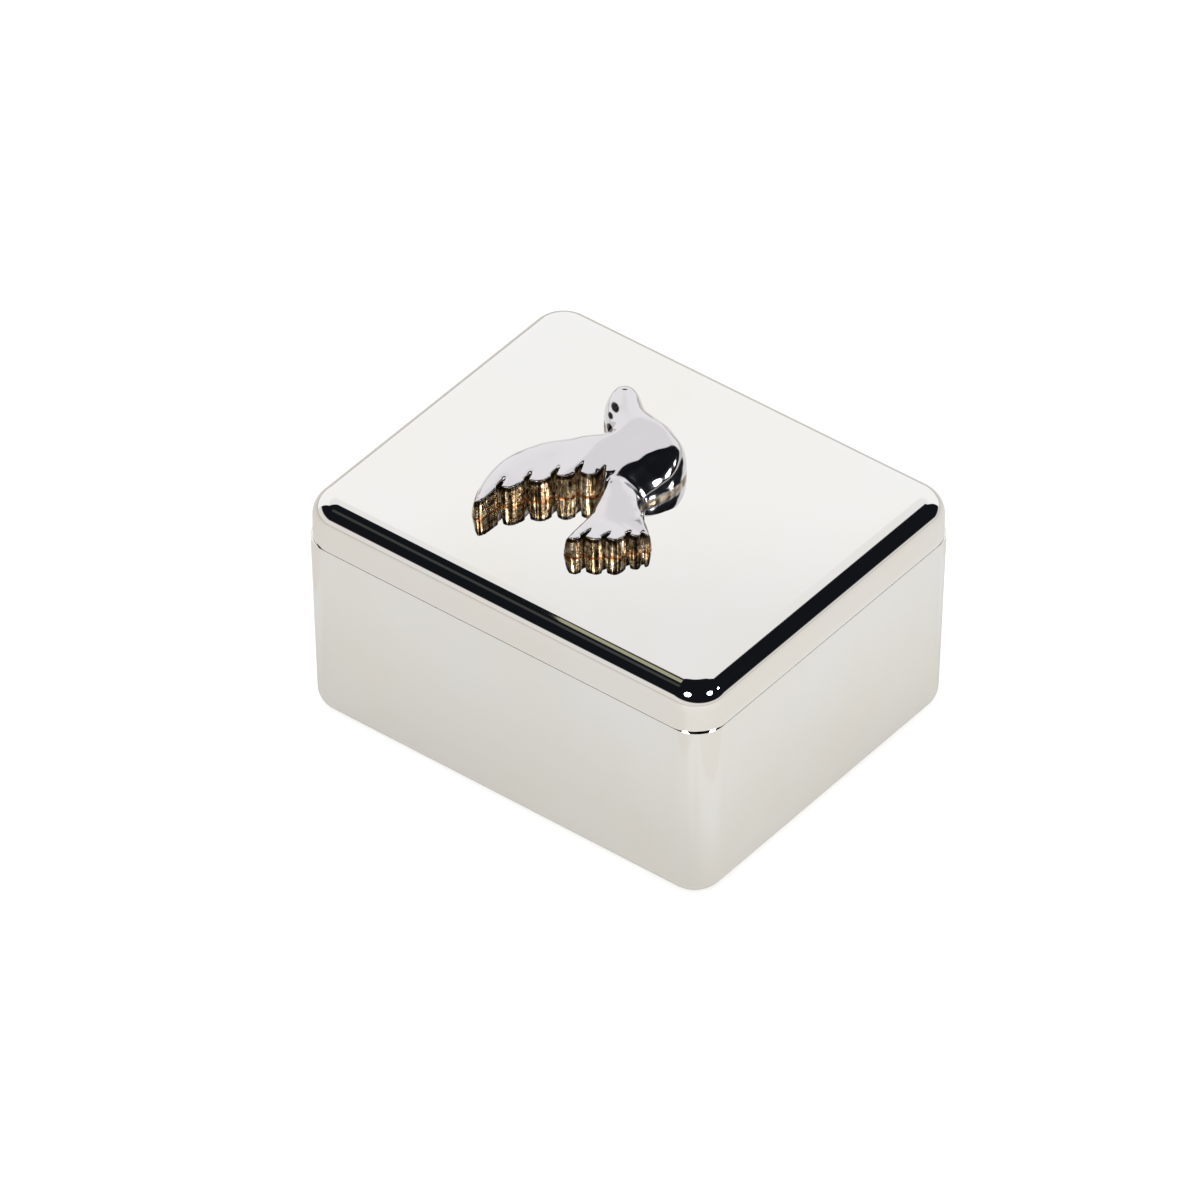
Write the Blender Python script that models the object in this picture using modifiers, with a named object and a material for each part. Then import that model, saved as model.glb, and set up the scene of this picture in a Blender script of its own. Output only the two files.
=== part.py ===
"""Keepsake box: a plated metal box with a lined inside, a hinged lid and a cast dove on the lid."""

import math

import bmesh
import bpy
import numpy as np
from mathutils import Matrix, Vector
from mathutils.geometry import delaunay_2d_cdt

# All sizes are in metres. The box stands on its felt at z = 0, centred on the origin, with its
# long front facing -Y and its hinge along the back at +Y.

# Metal box
BOX_WIDTH = 0.1000
BOX_DEPTH = 0.0820
SEAM_RISE = 0.0426
LID_RISE = 0.0099
SEAM_GAP = 0.0003
WALL = 0.0015
BASE_DRAFT = 0.00075
BASE_CORNER = 0.0065
BASE_EDGE = 0.0040
LID_CORNER = 0.0084
LID_EDGE = 0.0050
CORNER_STEPS = 8
EDGE_STEPS = 6

# Clearances shared by all pieces
CLEARANCE = 0.0003
OVERRUN = 0.0020

# Felt under the base
FELT_THICKNESS = 0.0005
FELT_MARGIN = 0.0012

# Lining of the base and of the lid
TRAY_WALL = 0.0012
TRAY_BELOW_RIM = 0.0010
BOARD_THICKNESS = 0.0012
BOARD_MARGIN = 0.0008
FLOOR_PAD_THICKNESS = 0.0036
LID_PAD_THICKNESS = 0.0030
PAD_MARGIN = 0.0006
LID_PAD_MARGIN = 0.0016
PAD_CORNER = 0.0040
PAD_CROWN_SHARE = 0.28
PAD_WAIST = 0.0005
PAD_CUTS = 6

# Knuckle hinge
HINGE_LENGTH = 0.0440
HINGE_INSET = 0.0009
KNUCKLES = 5
BARREL_RADIUS = 0.0016
PIN_RADIUS = 0.00075
PIN_SHORT = 0.0002
LEAF_THICKNESS = 0.0005
LEAF_REACH = 0.0044
LID_STOP_DEGREES = 101.0
ROUND_SIDES = 32

# Screws that hold the dove from inside the lid
SCREW_RADIUS = 0.0010
SCREW_BITE = 0.0026
SCREW_HEAD_RADIUS = 0.0019
SCREW_HEAD_HEIGHT = 0.0011
SLOT_WIDTH = 0.0005
SLOT_DEPTH = 0.0005
WASHER_RADIUS = 0.0026
WASHER_THICKNESS = 0.0004
SCREW_POST_SHARES = {"body": (-0.04, 0.12), "wing": (-0.30, -0.22)}

# Dove: the square it is drawn in, and its tallest height. Its outline and heights are shares of them.
DOVE_SIZE = 0.0500
DOVE_HEIGHT = 0.0090
DOVE_GRID_STEP = 0.0012
DOVE_RING_SHARES = (0.20, 0.60, 1.20)
RING_ROOM_SHARE = 0.90
GRID_ROOM_SHARE = 1.90
NET_TOLERANCE = 1e-7
DOVE_FOOT_SHARE = 0.22
STATION_SPREAD_SHARE = 0.052
OUTLINE_STEPS = 6
FEATHER_STEPS = 12
FEATHER_FULLNESS_SHARE = 0.85
GROOVE_MOUTH_SHARE = 0.020
GROOVE_OVERLAP_SHARE = 0.012

# Rounded sides of the outline, going clockwise seen from above.
HEAD_TO_TAIL_SHARES = (
    (-0.234, 0.150), (-0.256, 0.172), (-0.304, 0.222), (-0.342, 0.280), (-0.356, 0.338),
    (-0.338, 0.388), (-0.294, 0.410), (-0.246, 0.398), (-0.204, 0.368), (-0.152, 0.344),
    (-0.078, 0.332), (-0.006, 0.310), (0.058, 0.268), (0.100, 0.204), (0.116, 0.124),
    (0.102, 0.046), (0.088, -0.014), (0.138, -0.084), (0.188, -0.134), (0.242, -0.184),
    (0.274, -0.212),
)  # fmt: skip
TAIL_SIDE_SHARES = (
    (0.032, -0.444), (0.026, -0.400), (0.018, -0.312), (0.008, -0.252), (-0.030, -0.160),
    (-0.068, -0.072), (-0.086, -0.040),
)  # fmt: skip
WING_EDGE_SHARES = (
    (-0.394, -0.478), (-0.416, -0.440), (-0.438, -0.390), (-0.464, -0.300), (-0.472, -0.215),
    (-0.456, -0.120), (-0.412, -0.024), (-0.342, 0.054), (-0.276, 0.106), (-0.228, 0.140),
)  # fmt: skip

# Feather ends: for each, the outer corner that it fills, then the notch that closes it. A notch
# has its foot on the outline, and the point where its groove runs out on top.
TAIL_FEATHER_SHARES = (
    ((0.280, -0.240), (0.256, -0.238), (0.250, -0.212)),
    ((0.256, -0.278), (0.214, -0.278), (0.214, -0.236)),
    ((0.214, -0.356), (0.156, -0.352), (0.160, -0.282)),
    ((0.150, -0.398), (0.088, -0.398), (0.088, -0.326)),
)
TAIL_TIP_SHARE = (0.082, -0.448)
WING_FEATHER_SHARES = (
    ((-0.088, -0.120), (-0.156, -0.120), (-0.174, -0.044)),
    ((-0.166, -0.188), (-0.222, -0.188), (-0.240, -0.112)),
    ((-0.230, -0.268), (-0.292, -0.270), (-0.310, -0.196)),
    ((-0.300, -0.362), (-0.354, -0.364), (-0.372, -0.284)),
)
WING_TIP_SHARE = (-0.350, -0.508)

# Crease between the beak and the wing: its foot on the outline, and where it runs out on top.
BEAK_CREASE_SHARES = ((-0.230, 0.146), (-0.196, 0.204))

# Eye: a small hollow in the side of the head. Its place on the plan and its height, as shares.
EYE_SHARE = (-0.259, 0.238)
EYE_HEIGHT_SHARE = 0.80
EYE_RADIUS = 0.0008

# Heights along the bird: place, height as a share of the tallest, and how far its side rounds in.
STATION_SHARES = (
    ((-0.285, 0.335), 1.00, 0.080),
    ((-0.262, 0.240), 0.86, 0.070),
    ((-0.240, 0.170), 0.60, 0.040),
    ((-0.160, 0.270), 0.86, 0.090),
    ((-0.140, 0.150), 0.84, 0.090),
    ((-0.030, 0.200), 1.00, 0.125),
    ((-0.020, 0.100), 1.04, 0.125),
    ((0.010, 0.010), 0.92, 0.110),
    ((-0.040, -0.050), 0.56, 0.050),
    ((0.060, -0.085), 0.50, 0.040),
    ((0.080, -0.200), 0.51, 0.030),
    ((0.050, -0.330), 0.50, 0.025),
    ((0.150, -0.270), 0.50, 0.025),
    ((0.220, -0.200), 0.46, 0.025),
    ((-0.130, 0.020), 0.76, 0.085),
    ((-0.140, -0.070), 0.68, 0.060),
    ((-0.240, -0.060), 0.60, 0.095),
    ((-0.300, -0.160), 0.56, 0.090),
    ((-0.360, -0.260), 0.54, 0.075),
    ((-0.380, -0.380), 0.52, 0.050),
    ((-0.376, -0.460), 0.48, 0.030),
)

# Heights that follow from the sizes above.
BASE_BOTTOM = FELT_THICKNESS + CLEARANCE
SEAM = BASE_BOTTOM + SEAM_RISE
LID_TOP = SEAM + LID_RISE
TRAY_BOTTOM = BASE_BOTTOM + WALL + CLEARANCE
TRAY_TOP = SEAM - TRAY_BELOW_RIM
FLOOR_BOARD_BOTTOM = TRAY_BOTTOM + TRAY_WALL + CLEARANCE
FLOOR_PAD_BOTTOM = FLOOR_BOARD_BOTTOM + BOARD_THICKNESS + CLEARANCE
LID_CEILING = LID_TOP - WALL
LID_BOARD_TOP = LID_CEILING - CLEARANCE
LID_PAD_TOP = LID_BOARD_TOP - BOARD_THICKNESS - CLEARANCE
HINGE_Y = BOX_DEPTH / 2 - HINGE_INSET
DOVE_BOTTOM = LID_TOP + CLEARANCE


def new_collection(name, hidden=False):
    made = bpy.data.collections.new(name)
    made.hide_render = hidden
    bpy.context.scene.collection.children.link(made)
    return made


def new_material(name, colour, roughness, metallic):
    made = bpy.data.materials.new(name)
    made.use_nodes = True
    shader = made.node_tree.nodes["Principled BSDF"]
    shader.inputs["Base Color"].default_value = (*colour, 1.0)
    shader.inputs["Roughness"].default_value = roughness
    shader.inputs["Metallic"].default_value = metallic
    return made


def object_from(bm, name, home, material=None, smooth_degrees=30.0):
    """Makes an object of the bmesh, with its faces outward and its curved faces shaded smooth."""
    bmesh.ops.recalc_face_normals(bm, faces=bm.faces)
    mesh = bpy.data.meshes.new(name)
    bm.to_mesh(mesh)
    bm.free()
    mesh.shade_smooth()
    mesh.set_sharp_from_angle(angle=math.radians(smooth_degrees))
    made = bpy.data.objects.new(name, mesh)
    home.objects.link(made)
    if material:
        mesh.materials.append(material)
    else:
        made.hide_render = True
        made.display_type = "WIRE"
    return made


def combine(target, cutter, operation="DIFFERENCE"):
    """Adds an exact Boolean to the target."""
    modifier = target.modifiers.new(f"{operation.title()} {cutter.name}", "BOOLEAN")
    modifier.operation = operation
    modifier.solver = "EXACT"
    modifier.object = cutter
    return modifier


def block_mesh(low, high):
    """A bmesh box between two corners."""
    bm = bmesh.new()
    bmesh.ops.create_cube(bm, size=1.0)
    for vert in bm.verts:
        for axis in range(3):
            vert.co[axis] = high[axis] if vert.co[axis] > 0 else low[axis]
    return bm


def rounded_block(width, depth, low, high, corner, edge=0.0, edge_at=None, draft=0.0):
    """A box with rounded uprights, one rounded rim of edges, and sides that lean in to its bottom."""
    half = Vector((width / 2, depth / 2, 0))
    bm = block_mesh(Vector((0, 0, low)) - half, Vector((0, 0, high)) + half)
    middle = (low + high) / 2
    for vert in bm.verts:
        if vert.co.z < middle:
            vert.co.x -= math.copysign(draft, vert.co.x)
            vert.co.y -= math.copysign(draft, vert.co.y)
    uprights = [e for e in bm.edges if (e.verts[0].co.z < middle) != (e.verts[1].co.z < middle)]
    bmesh.ops.bevel(bm, geom=uprights, offset=corner, segments=CORNER_STEPS, profile=0.5, affect="EDGES")
    if edge_at is not None:
        level = high if edge_at == "top" else low
        rim = [e for e in bm.edges if all(math.isclose(v.co.z, level, abs_tol=1e-6) for v in e.verts)]
        bmesh.ops.bevel(bm, geom=rim, offset=edge, segments=EDGE_STEPS, profile=0.5, affect="EDGES")
    return bm


def open_at(bm, level):
    """Takes away the flat face at this level, which leaves an open shell."""
    lid = [f for f in bm.faces if all(math.isclose(v.co.z, level, abs_tol=1e-6) for v in f.verts)]
    bmesh.ops.delete(bm, geom=lid, context="FACES")


def add_wall(shell, thickness):
    """Gives an open surface its wall, on its inner side."""
    wall = shell.modifiers.new("Wall", "SOLIDIFY")
    wall.thickness = thickness
    wall.offset = -1.0
    wall.use_even_offset = True


def keep_flats(shell):
    """Shades the flat faces flat beside their rounded edges."""
    shell.modifiers.new("Flats", "WEIGHTED_NORMAL").keep_sharp = True


def rod_mesh(radius, length, centre, along="Z"):
    """A capped cylinder about its centre, along X or Z."""
    bm = bmesh.new()
    turn = Matrix.Rotation(math.radians(90), 4, "Y") if along == "X" else Matrix.Identity(4)
    bmesh.ops.create_cone(
        bm,
        cap_ends=True,
        segments=ROUND_SIDES,
        radius1=radius,
        radius2=radius,
        depth=length,
        matrix=Matrix.Translation(centre) @ turn,
    )
    return bm


# Plan sizes of the shells at a height, and the room inside them


def base_lean(height):
    """How far the base's side stands in from its rim at this height."""
    return BASE_DRAFT * (SEAM - height) / (SEAM - BASE_BOTTOM)


def base_size(height, inset):
    """Width and depth of the base at this height, taken in by this much on each side."""
    take = 2 * (base_lean(height) + inset)
    return BOX_WIDTH - take, BOX_DEPTH - take


def lid_size(inset):
    return BOX_WIDTH - 2 * inset, BOX_DEPTH - 2 * inset


# Hinge layout


def knuckle_span(index):
    """The ends of a knuckle along X."""
    pitch = (HINGE_LENGTH + CLEARANCE) / KNUCKLES
    start = -HINGE_LENGTH / 2 + index * pitch
    return start, start + pitch - CLEARANCE


def hinge_axis_at(x=0.0):
    return Vector((x, HINGE_Y, SEAM))


def hinge_notch_cutter(cutters):
    """The room that both walls leave for the barrel."""
    reach = BARREL_RADIUS + CLEARANCE
    half = Vector((HINGE_LENGTH / 2 + CLEARANCE, WALL + OVERRUN, reach))
    room = block_mesh(hinge_axis_at() - half, hinge_axis_at() + half)
    return object_from(room, "hinge_notch_cutter", cutters)


def lid_stop_cutter(cutters, side):
    """A wedge along the back seam that stops the open lid. Side is 1 above the seam, -1 below."""
    slope = math.tan(math.radians(LID_STOP_DEGREES / 2))
    reach = HINGE_INSET + OVERRUN
    bm = bmesh.new()
    corners = [
        bm.verts.new(hinge_axis_at(-BOX_WIDTH / 2 - OVERRUN) + Vector(step))
        for step in ((0, 0, 0), (0, reach, 0), (0, reach, side * reach * slope))
    ]
    bm.faces.new(corners)
    swept = bmesh.ops.extrude_face_region(bm, geom=bm.faces[:])
    moved = [g for g in swept["geom"] if isinstance(g, bmesh.types.BMVert)]
    bmesh.ops.translate(bm, verts=moved, vec=(BOX_WIDTH + 2 * OVERRUN, 0, 0))
    return object_from(bm, "lid_stop_cutter_above" if side > 0 else "lid_stop_cutter_below", cutters)


def make_base_shell(parts, cutters, metal):
    bm = rounded_block(
        BOX_WIDTH, BOX_DEPTH, BASE_BOTTOM, SEAM - SEAM_GAP / 2, BASE_CORNER, BASE_EDGE, "bottom", BASE_DRAFT
    )
    open_at(bm, SEAM - SEAM_GAP / 2)
    shell = object_from(bm, "base_shell", parts, metal)
    add_wall(shell, WALL)
    combine(shell, bpy.data.objects["hinge_notch_cutter"])
    combine(shell, lid_stop_cutter(cutters, -1))
    keep_flats(shell)
    return shell


def make_lid_shell(parts, cutters, metal):
    bm = rounded_block(BOX_WIDTH, BOX_DEPTH, SEAM + SEAM_GAP / 2, LID_TOP, LID_CORNER, LID_EDGE, "top")
    open_at(bm, SEAM + SEAM_GAP / 2)
    shell = object_from(bm, "lid_shell", parts, metal)
    add_wall(shell, WALL)
    combine(shell, bpy.data.objects["hinge_notch_cutter"])
    combine(shell, lid_stop_cutter(cutters, 1))
    for post, place in screw_posts().items():
        hole = rod_mesh(SCREW_RADIUS + CLEARANCE, WALL + 2 * OVERRUN, Vector((*place, LID_TOP - WALL / 2)))
        combine(shell, object_from(hole, f"lid_{post}_hole_cutter", cutters))
    keep_flats(shell)
    return shell


def make_base_felt(parts, felt):
    inset = BASE_EDGE + FELT_MARGIN
    width, depth = base_size(BASE_BOTTOM, inset)
    bm = rounded_block(width, depth, 0.0, FELT_THICKNESS, max(BASE_CORNER - inset, FELT_MARGIN))
    return object_from(bm, "base_felt", parts, felt)


def make_lining_tray(parts, cutters, velvet):
    """The lined tray inside the base, with its bottom edge rounded as the base's own inside is."""
    inset = WALL + CLEARANCE
    width, depth = base_size(SEAM, inset)
    lean = base_lean(TRAY_BOTTOM)
    bm = rounded_block(
        width, depth, TRAY_BOTTOM, TRAY_TOP, BASE_CORNER - inset, BASE_EDGE - inset, "bottom", lean
    )
    open_at(bm, TRAY_TOP)
    tray = object_from(bm, "lining_tray", parts, velvet)
    add_wall(tray, TRAY_WALL)
    half_width = HINGE_LENGTH / 2 + CLEARANCE
    inner = BOX_DEPTH / 2 - WALL - LEAF_THICKNESS - TRAY_WALL - OVERRUN
    low = Vector((-half_width, inner, SEAM - LEAF_REACH - CLEARANCE))
    high = Vector((half_width, BOX_DEPTH / 2, SEAM + OVERRUN))
    combine(tray, object_from(block_mesh(low, high), "tray_notch_cutter", cutters))
    return tray


def tray_room(height):
    """Width and depth inside the tray at this height."""
    return base_size(height, WALL + CLEARANCE + TRAY_WALL + CLEARANCE)


def make_floor_board(parts, card):
    width, depth = tray_room(FLOOR_BOARD_BOTTOM)
    margin = BOARD_MARGIN
    bm = rounded_block(
        width - 2 * margin,
        depth - 2 * margin,
        FLOOR_BOARD_BOTTOM,
        FLOOR_BOARD_BOTTOM + BOARD_THICKNESS,
        PAD_CORNER,
    )
    return object_from(bm, "floor_board", parts, card)


def make_lid_board(parts, cutters, card):
    width, depth = lid_size(LID_EDGE + CLEARANCE)
    bm = rounded_block(width, depth, LID_BOARD_TOP - BOARD_THICKNESS, LID_BOARD_TOP, PAD_CORNER)
    board = object_from(bm, "lid_board", parts, card)
    for post, place in screw_posts().items():
        centre = Vector((*place, LID_BOARD_TOP - BOARD_THICKNESS / 2))
        hole = rod_mesh(WASHER_RADIUS + CLEARANCE, BOARD_THICKNESS + 2 * OVERRUN, centre)
        combine(board, object_from(hole, f"board_{post}_hole_cutter", cutters))
    return board


def make_pad(name, width, depth, low, high, crown_up, parts, velvet):
    """A cushion: crowned on one face, flat on the other, with its sides drawn in between the corners."""
    bm = bmesh.new()
    bmesh.ops.create_cube(bm, size=2.0)
    bmesh.ops.subdivide_edges(bm, edges=bm.edges[:], cuts=PAD_CUTS, use_grid_fill=True)
    thickness = high - low
    crown = thickness * PAD_CROWN_SHARE
    for vert in bm.verts:
        u, v, w = vert.co
        bow_x = 1 - u * u
        bow_y = 1 - v * v
        rise = (w if crown_up else -w) * 0.5 + 0.5
        body = thickness - crown * (1 - bow_x * bow_y)
        x = u * (width / 2 - PAD_WAIST * bow_y)
        y = v * (depth / 2 - PAD_WAIST * bow_x)
        z = low + rise * body if crown_up else high - rise * body
        vert.co = (x, y, z)
    pad = object_from(bm, name, parts, velvet, smooth_degrees=80.0)
    soft = pad.modifiers.new("Soft", "SUBSURF")
    soft.levels = 1
    soft.render_levels = 1
    return pad


def make_floor_pad(parts, velvet):
    width, depth = tray_room(FLOOR_PAD_BOTTOM)
    take = 2 * PAD_MARGIN
    low = FLOOR_PAD_BOTTOM
    return make_pad(
        "floor_pad", width - take, depth - take, low, low + FLOOR_PAD_THICKNESS, True, parts, velvet
    )


def make_lid_pad(parts, cutters, velvet):
    width, depth = lid_size(WALL + LID_PAD_MARGIN)
    low = LID_PAD_TOP - LID_PAD_THICKNESS
    pad = make_pad("lid_pad", width, depth, low, LID_PAD_TOP, False, parts, velvet)
    head_bottom = LID_BOARD_TOP - WASHER_THICKNESS - CLEARANCE - SCREW_HEAD_HEIGHT
    for post, place in screw_posts().items():
        pocket_low = head_bottom - CLEARANCE
        top = LID_PAD_TOP + OVERRUN
        centre = Vector((*place, (pocket_low + top) / 2))
        pocket = rod_mesh(SCREW_HEAD_RADIUS + CLEARANCE, top - pocket_low, centre)
        combine(pad, object_from(pocket, f"pad_{post}_pocket_cutter", cutters))
    return pad


# Hinge


def make_leaf(name, own, side, parts, cutters, brass):
    """One leaf and its knuckles. Own is the first knuckle's index, and side is 1 for the lid's leaf."""
    wall_face = BOX_DEPTH / 2 - WALL - CLEARANCE
    ends = (SEAM, SEAM + side * LEAF_REACH)
    low = Vector((-HINGE_LENGTH / 2, wall_face - LEAF_THICKNESS, min(ends)))
    high = Vector((HINGE_LENGTH / 2, wall_face, max(ends)))
    leaf = object_from(block_mesh(low, high), name, parts, brass)
    room = BARREL_RADIUS + CLEARANCE
    for index in range(KNUCKLES):
        start, end = knuckle_span(index)
        if index % 2 == own:
            knuckle = rod_mesh(BARREL_RADIUS, end - start, hinge_axis_at((start + end) / 2), "X")
            combine(leaf, object_from(knuckle, f"{name}_knuckle_{index + 1}", cutters), "UNION")
        else:
            half = Vector(((end - start) / 2 + CLEARANCE, room, room))
            centre = hinge_axis_at((start + end) / 2)
            window = block_mesh(centre - half, centre + half)
            combine(leaf, object_from(window, f"{name}_window_{index + 1}", cutters))
    bore = rod_mesh(PIN_RADIUS + CLEARANCE, HINGE_LENGTH + 2 * OVERRUN, hinge_axis_at(), "X")
    combine(leaf, object_from(bore, f"{name}_bore", cutters))
    return leaf


def make_hinge_pin(parts, steel):
    return object_from(
        rod_mesh(PIN_RADIUS, HINGE_LENGTH - 2 * PIN_SHORT, hinge_axis_at(), "X"), "hinge_pin", parts, steel
    )


# Dove


def on_dove(share):
    """A point of the dove's plan, from its shares."""
    return share[0] * DOVE_SIZE, share[1] * DOVE_SIZE


def screw_posts():
    return {post: on_dove(share) for post, share in SCREW_POST_SHARES.items()}


def through(points, steps):
    """Points on a smooth curve through these, by Catmull-Rom, the last one included."""
    route = [2 * points[0] - points[1], *points, 2 * points[-1] - points[-2]]
    line = []
    for before, start, end, after in zip(route, route[1:], route[2:], route[3:]):
        for t in np.arange(steps) / steps:
            bend = 2 * before - 5 * start + 4 * end - after
            twist = 3 * start - before - 3 * end + after
            line.append(start + 0.5 * (t * (end - before) + t**2 * bend + t**3 * twist))
    return [*line, points[-1]]


def feather_end(start, corner, end):
    """The rounded end of a feather, from one notch to the next, filling the corner between them."""
    first = start + FEATHER_FULLNESS_SHARE * (corner - start)
    last = end + FEATHER_FULLNESS_SHARE * (corner - end)
    line = []
    for t in np.arange(1, FEATHER_STEPS) / FEATHER_STEPS:
        s = 1 - t
        line.append(s**3 * start + 3 * s**2 * t * first + 3 * s * t**2 * last + t**3 * end)
    return [*line, end]


def feathered(start, feathers, tip, end):
    """The row of feather ends between two rounded sides, leaving out both end points."""
    line = [start]
    for corner, foot, _ in feathers:
        line += feather_end(line[-1], np.array(on_dove(corner)), np.array(on_dove(foot)))
    line += feather_end(line[-1], np.array(on_dove(tip)), end)
    return line[1:-1]


def dove_lines():
    """The dove's outline as its rounded sides and its feathered ends, in order and clockwise."""
    head_to_tail, tail_side, wing_edge = (
        through([np.array(on_dove(s)) for s in shares], OUTLINE_STEPS)
        for shares in (HEAD_TO_TAIL_SHARES, TAIL_SIDE_SHARES, WING_EDGE_SHARES)
    )
    tail_end = feathered(head_to_tail[-1], TAIL_FEATHER_SHARES, TAIL_TIP_SHARE, tail_side[0])
    wing_end = feathered(tail_side[-1], WING_FEATHER_SHARES, WING_TIP_SHARE, wing_edge[0])
    return (head_to_tail, tail_side, wing_edge), (tail_end, wing_end)


def dove_top(spots):
    """Heights of the dove's top over its foot: station heights blended, and rounded down at the sides."""
    sides = np.concatenate([np.array(line) for line in dove_lines()[0]])
    places = np.array([on_dove(share) for share, _, _ in STATION_SHARES])
    heights = np.array([share * DOVE_HEIGHT for _, share, _ in STATION_SHARES])
    rounds = np.array([share * DOVE_SIZE for _, _, share in STATION_SHARES])
    spread = STATION_SPREAD_SHARE * DOVE_SIZE
    weight = np.exp(-(distances(spots, places) ** 2) / (2 * spread**2))
    weight /= weight.sum(-1, keepdims=True)
    inward = distances(spots, sides).min(-1) / (weight @ rounds)
    bow = np.sqrt(1 - (1 - np.clip(inward, 0, 1)) ** 2)
    return weight @ heights * (DOVE_FOOT_SHARE + (1 - DOVE_FOOT_SHARE) * bow)


def distances(spots, places):
    """How far each spot is from each place."""
    return np.sqrt(((spots[:, None, :] - places[None, :, :]) ** 2).sum(-1))


def inside(spots, outline):
    """Which spots lie inside the closed outline, by counting the edges to one side of each."""
    start = outline
    end = np.roll(outline, -1, axis=0)
    x, y = spots[:, :1], spots[:, 1:]
    crosses = (start[:, 1] > y) != (end[:, 1] > y)
    rise = np.where(crosses, end[:, 1] - start[:, 1], 1.0)
    reach = start[:, 0] + (y - start[:, 1]) * (end[:, 0] - start[:, 0]) / rise
    return (crosses & (x < reach)).sum(-1) % 2 == 1


def dove_spots(outline):
    """Places inside the outline that the top is drawn through: rings along it, then an even grid."""
    ahead = np.roll(outline, -1, axis=0) - np.roll(outline, 1, axis=0)
    inward = np.stack([ahead[:, 1], -ahead[:, 0]], axis=-1) / np.linalg.norm(ahead, axis=-1)[:, None]
    kept = np.empty((0, 2))
    for ring in DOVE_RING_SHARES:
        step = ring * DOVE_GRID_STEP
        found = outline + inward * step
        found = found[inside(found, outline)]
        kept = np.concatenate([kept, found[distances(found, outline).min(-1) > RING_ROOM_SHARE * step]])
    reach = np.arange(-DOVE_SIZE / 2, DOVE_SIZE / 2, DOVE_GRID_STEP)
    grid = np.stack(np.meshgrid(reach, reach), axis=-1).reshape(-1, 2)
    grid = grid[inside(grid, outline)]
    clear = distances(grid, outline).min(-1) > GRID_ROOM_SHARE * DOVE_GRID_STEP
    return np.concatenate([kept, grid[clear]])


def dove_solid(parts, plating):
    """The outline filled through its inner places, raised to the upper surface and closed at the foot."""
    (head_to_tail, tail_side, wing_edge), (tail_end, wing_end) = dove_lines()
    outline = np.array([*head_to_tail, *tail_end, *tail_side, *wing_end, *wing_edge])
    spots = np.concatenate([outline, dove_spots(outline)])
    loop = list(range(len(outline)))
    edges = list(zip(loop, loop[1:] + loop[:1]))
    net = delaunay_2d_cdt([Vector(spot) for spot in spots], edges, [loop], 1, NET_TOLERANCE)
    flat = np.array([tuple(place) for place in net[0]])
    bm = bmesh.new()
    verts = [bm.verts.new((*place, DOVE_BOTTOM + level)) for place, level in zip(flat, dove_top(flat))]
    for face in net[2]:
        bm.faces.new([verts[index] for index in face])
    rim = [edge for edge in bm.edges if edge.is_boundary]
    dropped = bmesh.ops.extrude_edge_only(bm, edges=rim)["geom"]
    for vert in (g for g in dropped if isinstance(g, bmesh.types.BMVert)):
        vert.co.z = DOVE_BOTTOM
    bmesh.ops.holes_fill(bm, edges=[edge for edge in bm.edges if edge.is_boundary])
    return object_from(bm, "dove", parts, plating)


def groove_cutter(name, foot, run_out, cutters):
    """A wedge that opens the notch between two feathers, deepest at its foot and run out on top."""
    away = (foot - run_out).normalized()
    across = Vector((-away.y, away.x)) * GROOVE_MOUTH_SHARE * DOVE_SIZE
    mouth = foot + away * GROOVE_OVERLAP_SHARE * DOVE_SIZE
    level = float(dove_top(np.array([run_out]))[0])
    rise = (DOVE_HEIGHT + OVERRUN) / (level + OVERRUN)
    bm = bmesh.new()
    for plan, level in (
        (mouth, DOVE_BOTTOM - OVERRUN),
        (foot + (run_out - foot) * rise, DOVE_BOTTOM + DOVE_HEIGHT),
        (mouth - across, DOVE_BOTTOM + DOVE_HEIGHT),
        (mouth + across, DOVE_BOTTOM + DOVE_HEIGHT),
    ):
        bm.verts.new((*plan, level))
    bmesh.ops.convex_hull(bm, input=bm.verts)
    return object_from(bm, name, cutters)


def make_dove(parts, cutters, plating):
    """The cast dove: its outline under a rounded top, grooved between the feathers and at the beak."""
    dove = dove_solid(parts, plating)
    grooves = {"beak_crease": BEAK_CREASE_SHARES}
    for side, feathers in (("tail", TAIL_FEATHER_SHARES), ("wing", WING_FEATHER_SHARES)):
        for index, (_, foot, run_out) in enumerate(feathers, 1):
            grooves[f"{side}_groove_{index}"] = (foot, run_out)
    for name, (foot, run_out) in grooves.items():
        combine(dove, groove_cutter(name, Vector(on_dove(foot)), Vector(on_dove(run_out)), cutters))
    eye = bmesh.new()
    centre = Vector((*on_dove(EYE_SHARE), DOVE_BOTTOM + EYE_HEIGHT_SHARE * DOVE_HEIGHT))
    place = Matrix.Translation(centre)
    bmesh.ops.create_uvsphere(eye, u_segments=12, v_segments=8, radius=EYE_RADIUS, matrix=place)
    combine(dove, object_from(eye, "eye_cutter", cutters))
    for post, place in screw_posts().items():
        depth = SCREW_BITE + CLEARANCE
        centre = Vector((*place, DOVE_BOTTOM + (depth - OVERRUN) / 2))
        hole = rod_mesh(SCREW_RADIUS + CLEARANCE, depth + OVERRUN, centre)
        combine(dove, object_from(hole, f"dove_{post}_hole_cutter", cutters))
    return dove


def make_washer(post, place, parts, cutters, steel):
    top = LID_CEILING - CLEARANCE
    centre = Vector((*place, top - WASHER_THICKNESS / 2))
    disc = rod_mesh(WASHER_RADIUS, WASHER_THICKNESS, centre)
    washer = object_from(disc, f"dove_washer_{post}", parts, steel)
    hole = rod_mesh(SCREW_RADIUS + CLEARANCE, WASHER_THICKNESS + 2 * OVERRUN, centre)
    combine(washer, object_from(hole, f"washer_{post}_hole_cutter", cutters))
    return washer


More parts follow.
